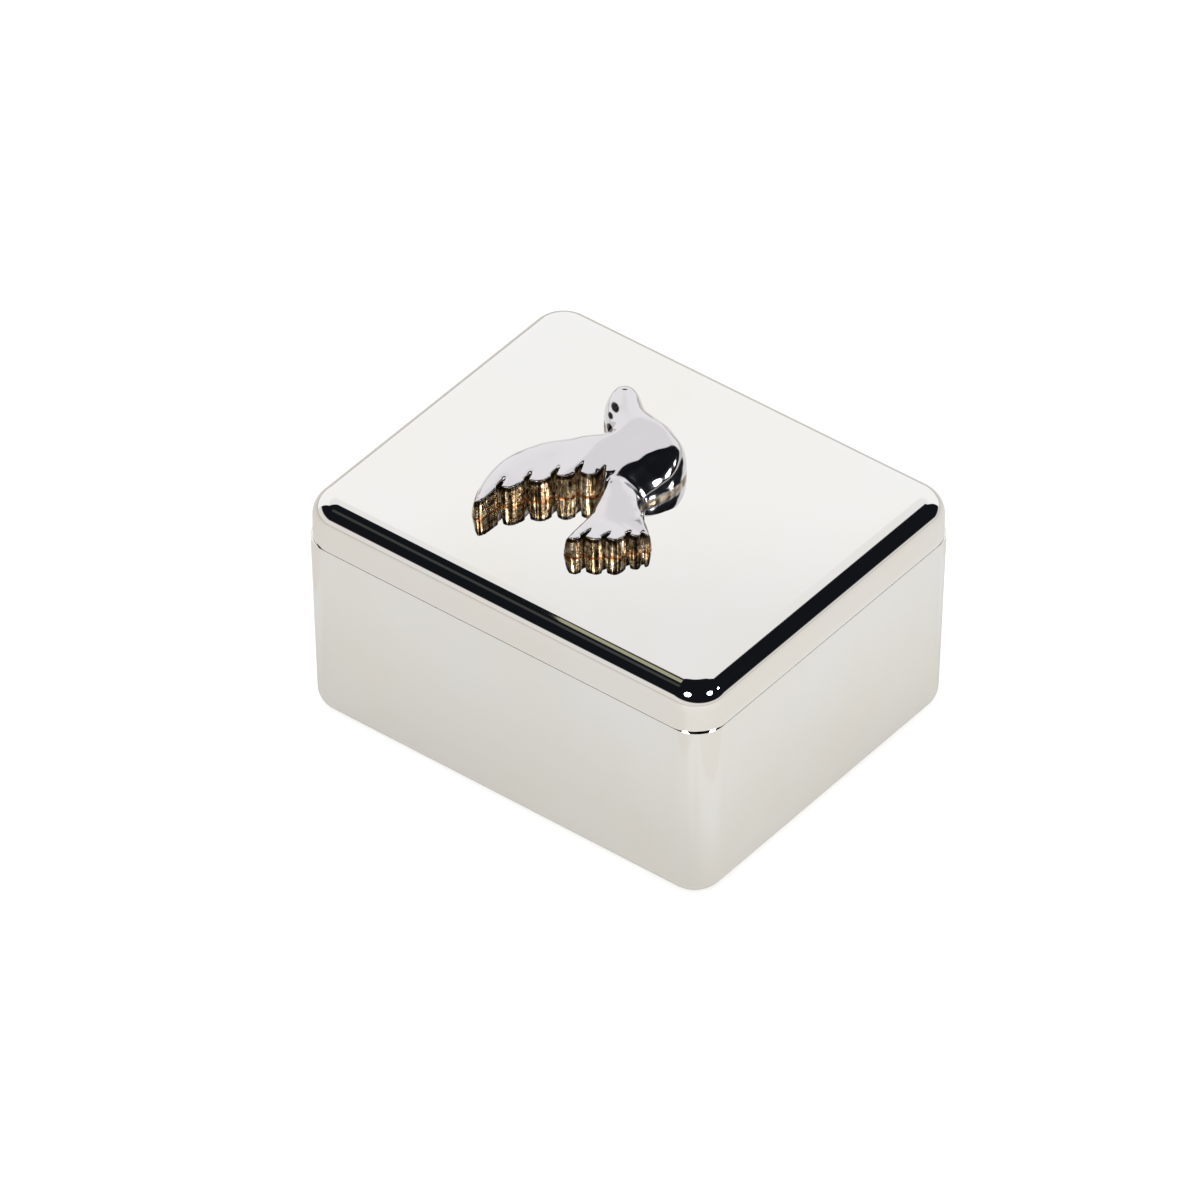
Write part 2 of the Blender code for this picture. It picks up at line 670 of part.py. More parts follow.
def make_screw(post, place, parts, cutters, steel):
    """A slotted screw, with its shank let into the head as far as the slot allows."""
    head_top = LID_CEILING - CLEARANCE - WASHER_THICKNESS - CLEARANCE
    head_low = head_top - SCREW_HEAD_HEIGHT
    shank_low = (head_top + head_low + SLOT_DEPTH) / 2
    tip = DOVE_BOTTOM + SCREW_BITE
    shank = rod_mesh(SCREW_RADIUS, tip - shank_low, Vector((*place, (tip + shank_low) / 2)))
    screw = object_from(shank, f"dove_screw_{post}", parts, steel)
    head = rod_mesh(SCREW_HEAD_RADIUS, SCREW_HEAD_HEIGHT, Vector((*place, (head_top + head_low) / 2)))
    combine(screw, object_from(head, f"screw_{post}_head", cutters), "UNION")
    half = Vector((SLOT_WIDTH / 2, SCREW_HEAD_RADIUS + OVERRUN, SLOT_DEPTH))
    centre = Vector((*place, head_low))
    slot = block_mesh(centre - half, centre + half)
    combine(screw, object_from(slot, f"screw_{post}_slot_cutter", cutters))
    return screw


def parent_to_hinge(lid_pieces, parts):
    """Hangs the lid's pieces on an empty that stands on the hinge's axis."""
    pivot = bpy.data.objects.new("lid_hinge", None)
    pivot.location = hinge_axis_at()
    parts.objects.link(pivot)
    for piece in lid_pieces:
        piece.data.transform(Matrix.Translation(-hinge_axis_at()))
        piece.parent = pivot


def main():
    for old in list(bpy.data.objects):
        bpy.data.objects.remove(old)
    parts = new_collection("Keepsake box")
    cutters = new_collection("Cutters", hidden=True)
    silver = new_material("Polished silver plate", (0.90, 0.89, 0.87), 0.06, 1.0)
    satin = new_material("Satin silver plate", (0.84, 0.83, 0.85), 0.35, 1.0)
    brass = new_material("Hinge metal", (0.72, 0.70, 0.66), 0.25, 1.0)
    steel = new_material("Screw steel", (0.60, 0.60, 0.62), 0.30, 1.0)
    velvet = new_material("Navy velvet", (0.012, 0.018, 0.055), 0.90, 0.0)
    felt = new_material("Black felt", (0.015, 0.015, 0.016), 0.95, 0.0)
    card = new_material("Grey card", (0.30, 0.29, 0.27), 0.80, 0.0)

    hinge_notch_cutter(cutters)
    make_base_shell(parts, cutters, silver)
    make_base_felt(parts, felt)
    make_lining_tray(parts, cutters, velvet)
    make_floor_board(parts, card)
    make_floor_pad(parts, velvet)
    make_leaf("hinge_base_leaf", 0, -1, parts, cutters, brass)
    make_hinge_pin(parts, steel)

    lid_pieces = [
        make_lid_shell(parts, cutters, silver),
        make_lid_board(parts, cutters, card),
        make_lid_pad(parts, cutters, velvet),
        make_leaf("hinge_lid_leaf", 1, 1, parts, cutters, brass),
        make_dove(parts, cutters, satin),
    ]
    for post, place in screw_posts().items():
        lid_pieces.append(make_washer(post, place, parts, cutters, steel))
        lid_pieces.append(make_screw(post, place, parts, cutters, steel))
    parent_to_hinge(lid_pieces, parts)


main()
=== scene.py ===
"""Looks of a plated keepsake box: its drawn shells, cast dove, velvet lining, finishes, light and camera."""

import math

import bmesh
import bpy
import numpy as np
from mathutils import Matrix, Vector
from mathutils.kdtree import KDTree


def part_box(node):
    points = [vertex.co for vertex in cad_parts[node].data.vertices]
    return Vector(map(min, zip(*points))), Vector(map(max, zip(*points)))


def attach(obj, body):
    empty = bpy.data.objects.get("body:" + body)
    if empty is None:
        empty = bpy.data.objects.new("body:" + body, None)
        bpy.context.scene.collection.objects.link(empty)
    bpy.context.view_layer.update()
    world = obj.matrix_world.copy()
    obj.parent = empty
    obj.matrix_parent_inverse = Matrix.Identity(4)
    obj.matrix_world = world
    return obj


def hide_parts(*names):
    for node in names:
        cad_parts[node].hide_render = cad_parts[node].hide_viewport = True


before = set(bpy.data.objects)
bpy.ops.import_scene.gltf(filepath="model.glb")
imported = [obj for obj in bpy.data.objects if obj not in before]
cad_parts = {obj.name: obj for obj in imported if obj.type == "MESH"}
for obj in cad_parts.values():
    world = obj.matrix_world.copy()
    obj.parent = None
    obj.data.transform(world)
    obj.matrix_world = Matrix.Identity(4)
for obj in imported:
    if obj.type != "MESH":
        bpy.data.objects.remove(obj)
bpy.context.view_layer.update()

bl_info = {
    "name": "Keepsake box",
    "version": (1, 0, 0),
    "blender": (4, 5, 0),
    "location": "3D View > Sidebar > Keepsake box",
    "description": "Dresses the keepsake box's frame in silver plate, velvet and felt",
    "category": "Add Mesh",
}

# Places of the frame's pieces, in metres
BASE_LOW, BASE_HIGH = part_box("base_shell")
LID_LOW, LID_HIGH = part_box("lid_shell")
TRAY_LOW, TRAY_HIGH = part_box("lining_tray")
DOVE_LOW, DOVE_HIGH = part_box("dove")
HINGE_LOW, HINGE_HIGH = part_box("hinge_pin")
SEAM = (BASE_HIGH.z + LID_LOW.z) / 2
HINGE_AXIS = (HINGE_LOW + HINGE_HIGH) / 2

# The photograph's camera: direction, distance and lens, with the picture's centre as a shift
CAMERA_AZIMUTH = math.radians(37.92)
CAMERA_ELEVATION = math.radians(39.97)
CAMERA_ROLL = math.radians(0.17)
CAMERA_DISTANCE = 2.7751
CAMERA_LENS = 425.54
CAMERA_SHIFT = (-0.02367, -0.00236)
CAMERA_TARGET = Vector((0, 0, LID_HIGH.z - 0.026275))


# Selecting and shaping


def lone(piece):
    """Makes this the only selected object, and the active one."""
    bpy.ops.object.select_all(action="DESELECT")
    piece.select_set(True)
    bpy.context.view_layer.objects.active = piece
    return piece


def start_box(name, low, high):
    """Adds a cube between two corners, with its place in its mesh."""
    bpy.ops.object.select_all(action="DESELECT")
    low, high = Vector(low), Vector(high)
    bpy.ops.mesh.primitive_cube_add(size=1, location=(low + high) / 2, scale=high - low)
    piece = bpy.context.object
    piece.name = name
    bpy.ops.object.transform_apply(location=True, rotation=True, scale=True)
    return piece


def start_rod(name, radius, depth, centre, along="Z", sides=48):
    """Adds a capped cylinder about its centre, along X or Z."""
    bpy.ops.object.select_all(action="DESELECT")
    turn = (0, math.pi / 2, 0) if along == "X" else (0, 0, 0)
    bpy.ops.mesh.primitive_cylinder_add(
        vertices=sides, radius=radius, depth=depth, location=centre, rotation=turn
    )
    piece = bpy.context.object
    piece.name = name
    bpy.ops.object.transform_apply(location=True, rotation=True, scale=True)
    return piece


def edit(piece):
    lone(piece)
    bpy.ops.object.mode_set(mode="EDIT")


def done():
    bpy.ops.object.mode_set(mode="OBJECT")


def pick(piece, kind, test):
    """In edit mode, selects the vertices, edges or faces that pass a test on the places of their corners."""
    bpy.ops.mesh.select_mode(type=kind)
    bpy.ops.mesh.select_all(action="DESELECT")
    bm = bmesh.from_edit_mesh(piece.data)
    found = 0
    for part in {"VERT": bm.verts, "EDGE": bm.edges, "FACE": bm.faces}[kind]:
        corners = [part] if kind == "VERT" else part.verts
        if test([v.co for v in corners]):
            part.select_set(True)
            found += 1
    bm.select_flush_mode()
    bmesh.update_edit_mesh(piece.data)
    if not found:
        raise RuntimeError(f"{piece.name}: nothing to select")


def finish_modifier(piece, kind, **settings):
    """Adds a modifier with these settings and applies it."""
    lone(piece)
    modifier = piece.modifiers.new(kind.title(), kind)
    for key, value in settings.items():
        setattr(modifier, key, value)
    bpy.ops.object.modifier_apply(modifier=modifier.name)


def cut_away(piece, cutter):
    """Takes the cutter's shape out of the piece, and removes the cutter."""
    finish_modifier(piece, "BOOLEAN", operation="DIFFERENCE", solver="EXACT", object=cutter)
    bpy.data.objects.remove(cutter)


def smooth(piece, degrees=35.0, weighted=True):
    """Shades curved faces smooth and keeps flat faces flat."""
    lone(piece)
    bpy.ops.object.shade_smooth_by_angle(angle=math.radians(degrees))
    if weighted:
        finish_modifier(piece, "WEIGHTED_NORMAL", keep_sharp=True, weight=60)


def near(value, target, room=1e-6):
    return abs(value - target) < room


def round_box(piece, corner, edge, edge_at, corner_steps, edge_steps):
    """Rounds the uprights, and then the rim of edges at one height."""
    edit(piece)
    pick(piece, "EDGE", lambda c: abs(c[0].z - c[1].z) > 1e-4)
    bpy.ops.mesh.bevel(offset=corner, offset_type="OFFSET", segments=corner_steps, affect="EDGES")
    if edge:
        pick(piece, "EDGE", lambda c: near(c[0].z, edge_at) and near(c[1].z, edge_at))
        bpy.ops.mesh.bevel(offset=edge, offset_type="OFFSET", segments=edge_steps, affect="EDGES")
    done()


def lean_in(piece, level, amount):
    """Moves the corners at one height in by this much on each side."""
    for vert in piece.data.vertices:
        if near(vert.co.z, level):
            vert.co.x -= math.copysign(amount, vert.co.x)
            vert.co.y -= math.copysign(amount, vert.co.y)


def open_face(piece, level):
    """Deletes the flat face at one height."""
    edit(piece)
    pick(piece, "FACE", lambda c: all(near(v.z, level) for v in c))
    bpy.ops.mesh.delete(type="FACE")
    done()


def wall(piece, thickness):
    edit(piece)
    bpy.ops.mesh.select_all(action="SELECT")
    bpy.ops.mesh.normals_make_consistent(inside=False)
    done()
    finish_modifier(piece, "SOLIDIFY", thickness=thickness, offset=-1.0, use_even_offset=True)


def hand_over(piece, body, slot, material, *nodes):
    """Gives a finished piece its finish, its body and the nodes that it stands for."""
    piece.data.materials.clear()
    piece.data.materials.append(material)
    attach(piece, body)
    if nodes:
        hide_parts(*nodes)
    return piece


# Finishes


class Wire:
    """An output of a shader node. Sums written on it add their Math nodes."""

    def __init__(self, finish, socket):
        self.finish = finish
        self.socket = socket

    def maths(self, operation, *values):
        return self.finish.node("ShaderNodeMath", {"operation": operation}, dict(enumerate(values)))

    def __add__(self, other):
        return self.maths("ADD", self, other)

    def __sub__(self, other):
        return self.maths("SUBTRACT", self, other)

    def __rsub__(self, other):
        return self.maths("SUBTRACT", other, self)

    def __mul__(self, other):
        return self.maths("MULTIPLY", self, other)

    def __truediv__(self, other):
        return self.maths("DIVIDE", self, other)

    def __pow__(self, other):
        return self.maths("POWER", self, other)

    __radd__ = __add__
    __rmul__ = __mul__

    def larger(self, other):
        return self.maths("MAXIMUM", self, other)

    def smaller(self, other):
        return self.maths("MINIMUM", self, other)

    def size(self):
        return self.maths("ABSOLUTE", self)

    def ramp(self, start, end):
        """0 at start and 1 at end, easing at both."""
        settings = {"interpolation_type": "SMOOTHSTEP"}
        return self.finish.node("ShaderNodeMapRange", settings, {0: self, 1: start, 2: end})


class Finish:
    """A node tree being written, of a material or of the world."""

    def __init__(self, owner):
        owner.use_nodes = True
        self.tree = owner.node_tree
        self.tree.nodes.clear()

    def node(self, kind, settings=None, inputs=None, output=0):
        """Adds a node, sets it up, fills its inputs with values or links, and returns one output."""
        made = self.tree.nodes.new(kind)
        for key, value in (settings or {}).items():
            if key == "stops":
                self.set_stops(made.color_ramp, value)
            else:
                setattr(made, key, value)
        for key, value in (inputs or {}).items():
            if isinstance(value, Wire):
                self.tree.links.new(value.socket, made.inputs[key])
            else:
                made.inputs[key].default_value = value
        return Wire(self, made.outputs[output]) if made.outputs else None

    def set_stops(self, ramp, stops):
        while len(ramp.elements) < len(stops):
            ramp.elements.new(0.5)
        for element, (place, colour) in zip(ramp.elements, stops):
            element.position = place
            element.color = colour

    def place(self):
        return self.node("ShaderNodeTexCoord", output="Object")

    def stretched(self, scale, turn=(0, 0, 0)):
        inputs = {"Vector": self.place(), "Scale": scale, "Rotation": turn}
        return self.node("ShaderNodeMapping", None, inputs)

    def noise(self, scale, detail=3.0, roughness=0.5, place=None):
        inputs = {"Scale": scale, "Detail": detail, "Roughness": roughness}
        inputs["Vector"] = place or self.place()
        return self.node("ShaderNodeTexNoise", None, inputs)

    def blend(self, share, first, second):
        """Mixes two colours."""
        settings = {"data_type": "RGBA"}
        return self.node("ShaderNodeMix", settings, {0: share, 6: first, 7: second}, output=2)

    def axes(self, vector):
        """The X, Y and Z of a vector."""
        split = self.tree.nodes.new("ShaderNodeSeparateXYZ")
        self.tree.links.new(vector.socket, split.inputs[0])
        return tuple(Wire(self, split.outputs[axis]) for axis in "XYZ")

    def bump(self, height, distance, strength=1.0, normal=None):
        inputs = {"Height": height, "Distance": distance, "Strength": strength}
        if normal:
            inputs["Normal"] = normal
        return self.node("ShaderNodeBump", None, inputs)

    def principled(self, **inputs):
        named = {key.replace("_", " "): value for key, value in inputs.items()}
        shader = self.node("ShaderNodeBsdfPrincipled", None, named)
        self.node("ShaderNodeOutputMaterial", None, {"Surface": shader})


def new_finish(name):
    material = bpy.data.materials.new(name)
    return material, Finish(material)


def polished_silver(colour, roughness):
    """Mirror-polished plate, with a faint haze and the finest of handling scratches."""
    material, f = new_finish("Polished silver plate")
    haze = f.noise(38.0, 4.0, 0.55)
    warm = tuple(c * w for c, w in zip(colour, (1.0, 0.985, 0.955))) + (1.0,)
    tone = f.blend(haze.ramp(0.35, 0.75), (*colour, 1.0), warm)
    scratches = f.noise(900.0, 2.0, 0.4, f.stretched((1.0, 0.12, 0.12), (0.3, 0.2, 0.6)))
    fine = scratches.ramp(0.62, 0.72)
    x, y, z = f.axes(f.place())
    crown = z.ramp(LID_HIGH.z - 0.00022, LID_HIGH.z - 0.00002) * 1.05
    tilt = f.node("ShaderNodeCombineXYZ", None, {0: x * crown, 1: y * crown})
    turn = {"vector_type": "VECTOR", "convert_from": "OBJECT", "convert_to": "WORLD"}
    tilt = f.node("ShaderNodeVectorTransform", turn, {"Vector": tilt})
    upright = f.node("ShaderNodeNewGeometry", output="Normal")
    crowned = f.node("ShaderNodeVectorMath", {"operation": "ADD"}, {0: upright, 1: tilt})
    crowned = f.node("ShaderNodeVectorMath", {"operation": "NORMALIZE"}, {0: crowned})
    f.principled(
        Base_Color=tone,
        Metallic=1.0,
        Roughness=haze * roughness + fine * 0.012 + roughness * 0.6,
        Normal=f.bump(haze + fine * 0.01, 0.00002, 0.25, crowned),
    )
    return material


def satin_silver(colour, roughness):
    """Cast and plated: softer than the box, with brown patina and painted reflection on its feathered walls, and
    painted black shade in its deep places.
    """
    material, f = new_finish("Satin silver plate")
    stain, foot, rim, mark = (
        f.node("ShaderNodeAttribute", {"attribute_name": name}, output="Fac")
        for name in ("stain", "foot", "rim", "mark")
    )
    mottle = f.noise(750.0, 5.0, 0.72)
    streaks = f.noise(900.0, 3.0, 0.6, f.stretched((1.0, 1.0, 0.16)))
    # The walls' colour: brown patina mixed with painted reflection, black and near-white streaks for the dark room
    # and the lamps, darkened by rim as painted shade under the top edges.
    patina_and_painted_streaks = f.node(
        "ShaderNodeValToRGB",
        {
            "stops": [
                (0.38, (0.020, 0.013, 0.007, 1)),
                (0.47, (0.22, 0.130, 0.055, 1)),
                (0.55, (0.55, 0.41, 0.23, 1)),
                (0.66, (0.86, 0.82, 0.72, 1)),
            ]
        },
        {"Fac": (streaks * 0.5 + mottle * 0.5 - 0.5) * 1.5 + 0.5 - rim * 0.26},
    )
    amount = (stain * 1.5 + (mottle - 0.5) * 0.6).ramp(0.25, 0.80)
    # Darker orange-brown along the foot, where the dove meets the lid.
    foot_brown = (foot * 1.3 + (mottle - 0.5) * 0.9).ramp(0.35, 0.80)
    wall_colour = f.blend(foot_brown, patina_and_painted_streaks, (0.22, 0.085, 0.022, 1))
    plate = f.blend(amount, (*colour, 1.0), wall_colour)
    grain = f.noise(3200.0, 3.0, 0.6)
    # Painted shade, near black: in the hollows, at the eye, the beak and the crown.
    dark = (mark + (grain - 0.5) * mark * 0.8).ramp(0.25, 0.70)
    waves = f.noise(620.0, 2.0, 0.5, f.stretched((1.0, 1.0, 0.10)))
    f.principled(
        Base_Color=f.blend(dark, plate, (0.010, 0.009, 0.008, 1)),
        Metallic=amount * -0.25 + 1.0,
        Roughness=grain * 0.04 + amount * 0.06 + dark * 0.2 + roughness,
        Normal=f.bump(grain * 0.04 + (waves * 3.0 + mottle * 0.3) * amount, 0.00016, 0.8),
    )
    return material


def velvet(colour):
    """Short pile, brushed lighter and darker in patches."""
    material, f = new_finish("Navy velvet")
    brushed = f.noise(70.0, 6.0, 0.62, f.stretched((1.0, 2.2, 1.0)))
    pile = f.noise(4200.0, 3.0, 0.7)
    light = tuple(c * 2.2 + 0.002 for c in colour) + (1.0,)
    f.principled(
        Base_Color=f.blend(brushed.ramp(0.42, 0.62) * 0.25 + pile * 0.6, (*colour, 1.0), light),
        Roughness=0.95,
        Sheen_Weight=0.45,
        Sheen_Roughness=0.30,
        Sheen_Tint=(0.30, 0.36, 0.66, 1.0),
        Normal=f.bump(pile + brushed * 0.4, 0.00020, 0.8),
    )
    return material


def felt(colour):
    """Pressed fibres with no weave."""
    material, f = new_finish("Black felt")
    fibres = f.noise(2400.0, 5.0, 0.75, f.stretched((1.0, 0.35, 1.0), (0, 0, 0.5)))
    light = tuple(c * 2.2 for c in colour) + (1.0,)
    f.principled(
        Base_Color=f.blend(fibres.ramp(0.35, 0.7), (*colour, 1.0), light),
        Roughness=0.97,
        Sheen_Weight=0.4,
        Normal=f.bump(fibres, 0.0002, 0.8),
    )
    return material


def card(colour):
    """Grey pressed card, flecked."""
    material, f = new_finish("Grey card")
    flecks = f.noise(1500.0, 4.0, 0.7)
    dark = tuple(c * 0.72 for c in colour) + (1.0,)
    f.principled(
        Base_Color=f.blend(flecks.ramp(0.4, 0.65), (*colour, 1.0), dark),
        Roughness=flecks * 0.15 + 0.75,
        Normal=f.bump(flecks, 0.00005, 0.5),
    )
    return material


def brushed_metal(name, colour, roughness, grain_scale):
    """Plain metal with the fine lines of its making along X."""
    material, f = new_finish(name)
    lines = f.noise(grain_scale, 3.0, 0.6, f.stretched((0.05, 1.0, 1.0)))
    dull = tuple(c * 0.8 for c in colour) + (1.0,)
    f.principled(
        Base_Color=f.blend(lines.ramp(0.3, 0.7), dull, (*colour, 1.0)),
        Metallic=1.0,
        Roughness=lines * 0.15 + roughness,
        Normal=f.bump(lines, 0.00002, 0.5),
    )
    return material


# What a user would change


class KeepsakeShape(bpy.types.PropertyGroup):
    lid_corner: bpy.props.FloatProperty(
        name="Lid corner",
        description="Radius of the lid's upright corners",
        default=0.0075,
        unit="LENGTH",
    )
    lid_edge: bpy.props.FloatProperty(
        name="Lid edge", description="Radius of the lid's top edge", default=0.0050, unit="LENGTH"
    )
    base_corner: bpy.props.FloatProperty(
        name="Base corner",
        description="Radius of the base's upright corners",
        default=0.0065,
        unit="LENGTH",
    )
    base_edge: bpy.props.FloatProperty(
        name="Base edge",
        description="Radius of the base's bottom edge",
        default=0.0040,
        unit="LENGTH",
    )
    base_lean: bpy.props.FloatProperty(
        name="Base lean",
        description="How far the base's sides come in at its bottom",
        default=0.00075,
        unit="LENGTH",
    )
    wall: bpy.props.FloatProperty(
        name="Wall", description="Thickness of the metal walls", default=0.0015, unit="LENGTH"
    )
    tray_wall: bpy.props.FloatProperty(
        name="Lining wall",
        description="Thickness of the lined tray's walls",
        default=0.0012,
        unit="LENGTH",
    )
    clearance: bpy.props.FloatProperty(
        name="Clearance", description="Gap between neighbours", default=0.0003, unit="LENGTH"
    )
    seam_fill: bpy.props.FloatProperty(
        name="Seam fill",
        description="How far the base's rim stands up into the gap under the lid",
        default=0.00014,
        unit="LENGTH",
        precision=5,
    )
    stop_angle: bpy.props.FloatProperty(
        name="Lid stop",
        description="Angle that the groove along the back seam opens to",
        default=math.radians(101.0),
        subtype="ANGLE",
    )
    dove_grain: bpy.props.FloatProperty(
        name="Dove grain",
        description="Size of the faces that the dove is smoothed on",
        default=0.00020,
        unit="LENGTH",
        precision=5,
    )
    pad_swell: bpy.props.FloatProperty(
        name="Pad swell", description="Pressure in the velvet pads", default=6.0
    )


class KeepsakeFinish(bpy.types.PropertyGroup):
    silver: bpy.props.FloatVectorProperty(
        name="Polished silver",
        description="Colour of the box's plate",
        default=(0.82, 0.815, 0.805),
        size=3,
        subtype="COLOR",
    )
    dove: bpy.props.FloatVectorProperty(
        name="Dove silver",
        description="Colour of the dove's plate",
        default=(0.69, 0.675, 0.70),
        size=3,
        subtype="COLOR",
    )
    velvet: bpy.props.FloatVectorProperty(
        name="Velvet",
        description="Colour of the lining",
        default=(0.012, 0.018, 0.055),
        size=3,
        subtype="COLOR",
    )
    felt: bpy.props.FloatVectorProperty(
        name="Felt",
        description="Colour of the felt under the base",
        default=(0.015, 0.015, 0.016),
        size=3,
        subtype="COLOR",
    )
    card: bpy.props.FloatVectorProperty(
        name="Card",
        description="Colour of the boards behind the pads",
        default=(0.30, 0.29, 0.27),
        size=3,
        subtype="COLOR",
    )


class KeepsakeStage(bpy.types.PropertyGroup):
    floor_size: bpy.props.FloatProperty(
        name="Floor", description="Width of the floor", default=6.0, unit="LENGTH"
    )
    card_light: bpy.props.FloatProperty(
        name="White card", description="Brightness of the card behind the box", default=1.08
    )
    card_height: bpy.props.FloatProperty(
        name="Card height", description="Height of the card's top edge over its distance", default=1.96
    )
    wall_light: bpy.props.FloatProperty(
        name="Pale surround", description="Brightness of what stands low around the box", default=0.86
    )
    floor_mirror: bpy.props.FloatProperty(
        name="Floor in the metal",
        description="How bright the floor is where the metal shows it",
        default=0.40,
    )


# Metal box


class KEEPSAKE_OT_base(bpy.types.Operator):
    """Models the drawn metal base in place of its frame node"""

    bl_idname = "keepsake.base"
    bl_label = "Base"

    def execute(self, context):
        shape = context.scene.keepsake_shape
        low = Vector((LID_LOW.x, -LID_HIGH.y, BASE_LOW.z))
        high = Vector((LID_HIGH.x, LID_HIGH.y, BASE_HIGH.z + shape.seam_fill))
        base = start_box("base_plated", low, high)
        lean_in(base, low.z, shape.base_lean)
        round_box(base, shape.base_corner, shape.base_edge, low.z, 20, 16)
        open_face(base, high.z)
        wall(base, shape.wall)
        cut_away(base, hinge_room(shape))
        cut_stop(base, shape, -1)
        smooth(base)
        hand_over(base, "base", "polished_silver", bpy.data.materials["Polished silver plate"], "base_shell")
        return {"FINISHED"}


class KEEPSAKE_OT_lid(bpy.types.Operator):
    """Models the drawn metal lid in place of its frame node"""

    bl_idname = "keepsake.lid"
    bl_label = "Lid"

    def execute(self, context):
        shape = context.scene.keepsake_shape
        low = Vector((LID_LOW.x, -LID_HIGH.y, LID_LOW.z))
        lid = start_box("lid_plated", low, LID_HIGH)
        round_box(lid, shape.lid_corner, shape.lid_edge, LID_HIGH.z, 24, 20)
        open_face(lid, low.z)
        wall(lid, shape.wall)
        cut_away(lid, hinge_room(shape))
        cut_stop(lid, shape, 1)
        for screw in ("dove_screw_body", "dove_screw_wing"):
            screw_low, screw_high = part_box(screw)
            centre = (screw_low + screw_high) / 2
            centre.z = LID_HIGH.z
            radius = 0.0010 + shape.clearance
            cut_away(lid, start_rod("screw_hole", radius, 3 * shape.wall, centre))
        smooth(lid)
        hand_over(lid, "lid", "polished_silver", bpy.data.materials["Polished silver plate"], "lid_shell")
        return {"FINISHED"}


def hinge_room(shape):
    """The room that both walls leave for the hinge's barrel."""
    low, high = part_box("hinge_base_leaf")
    reach = (high.z - SEAM) + shape.clearance
    half = Vector(((high.x - low.x) / 2 + shape.clearance, 2.2 * shape.wall, reach))
    return start_box("hinge_room", HINGE_AXIS - half, HINGE_AXIS + half)


def cut_stop(piece, shape, side):
    """Slopes the outer edge of the back rim, which stops the open lid. Side is 1 on the lid, -1 on the base."""
    slope = math.tan(shape.stop_angle / 2)
    normal = Vector((0, slope, -side)).normalized()
    reach = HINGE_AXIS + Vector((0, 0.0015, side * 0.0015 * slope))
    low = HINGE_AXIS + Vector((-0.06, 0, 0))
    wedge = start_box("stop_wedge", (-0.06, low.y, SEAM - 0.004), (0.06, low.y + 0.004, SEAM + 0.004))
    edit(wedge)
    bpy.ops.mesh.select_all(action="SELECT")
    bpy.ops.mesh.bisect(plane_co=reach, plane_no=normal, clear_inner=True, use_fill=True)
    done()
    cut_away(piece, wedge)


# Dove


class KEEPSAKE_OT_dove(bpy.types.Operator):
    """Smooths a copy of the cast dove, sets it on the lid and marks its patina and the painted shade of its deep
    places
    """

    bl_idname = "keepsake.dove"
    bl_label = "Dove"

    def execute(self, context):
        shape = context.scene.keepsake_shape
        dove = bpy.data.objects.new("dove_cast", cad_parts["dove"].data.copy())
        context.scene.collection.objects.link(dove)
        merge(dove)
        sink_foot(dove)
        finish_modifier(dove, "REMESH", mode="VOXEL", voxel_size=shape.dove_grain)
        level_back(dove)
        lean_feathers(dove)
        shape_flank(dove)
        draw_in_beak(dove)
        soften(dove)
        cut_at_lid(dove)
        mark_patina_and_painted_shade(dove)
        smooth(dove, 60.0, weighted=False)
        hand_over(dove, "lid", "satin_silver", bpy.data.materials["Satin silver plate"], "dove")
        return {"FINISHED"}


def merge(piece):
    edit(piece)
    bpy.ops.mesh.select_all(action="SELECT")
    bpy.ops.mesh.remove_doubles(threshold=1e-6)
    done()


def sink_foot(dove):
    """Draws the foot down into the lid, so that it is cut there after smoothing."""
    edit(dove)
    pick(dove, "VERT", lambda c: c[0].z < DOVE_LOW.z + 1e-5)
    bpy.ops.transform.translate(value=(0, 0, -0.0012))
    done()


def corners_of(piece):
    places = np.empty(len(piece.data.vertices) * 3, np.float32)
    piece.data.vertices.foreach_get("co", places)
    return places.reshape(-1, 3).astype(float)


def directions_of(piece):
    normals = np.empty(len(piece.data.vertices) * 3, np.float32)
    piece.data.vertices.foreach_get("normal", normals)
    return normals.reshape(-1, 3).astype(float)


def weigh(piece, name, weights):
    group = piece.vertex_groups.new(name=name)
    for step in np.linspace(0, 1, 11)[1:]:
        chosen = np.flatnonzero(np.abs(weights - step) <= 0.05)
        group.add(chosen.tolist(), float(step), "REPLACE")


# Ends of the wing's and the tail's feather rows on the lid, in metres
FEATHER_ROWS = (((-0.0195, -0.0245), (-0.0045, -0.0040)), ((0.0025, -0.0220), (0.0138, -0.0112)))


def from_feathers(places):
    """How far each place is, on the plan, from the nearer row of feather ends."""
    found = np.full(len(places), 1.0)
    for start, end in FEATHER_ROWS:
        start, end = np.array(start), np.array(end)
        along = end - start
        t = np.clip((places[:, :2] - start) @ along / (along @ along), 0, 1)
        nearest = start + t[:, None] * along
        found = np.minimum(found, np.linalg.norm(places[:, :2] - nearest, axis=1))
    return found


def put_corners(piece, places):
    piece.data.vertices.foreach_set("co", places.astype(np.float32).ravel())
    piece.data.update()


def bump_at(places, centre, radius):
    """1 at a place on the plan, fading to 0 around it."""
    apart = (places[:, :2] - np.array(centre)) / radius
    return np.exp(-(apart**2).sum(axis=1))


def ease(values, start, end):
    """0 at start and 1 at end, easing at both."""
    t = np.clip((values - start) / (end - start), 0, 1)
    return t * t * (3 - 2 * t)


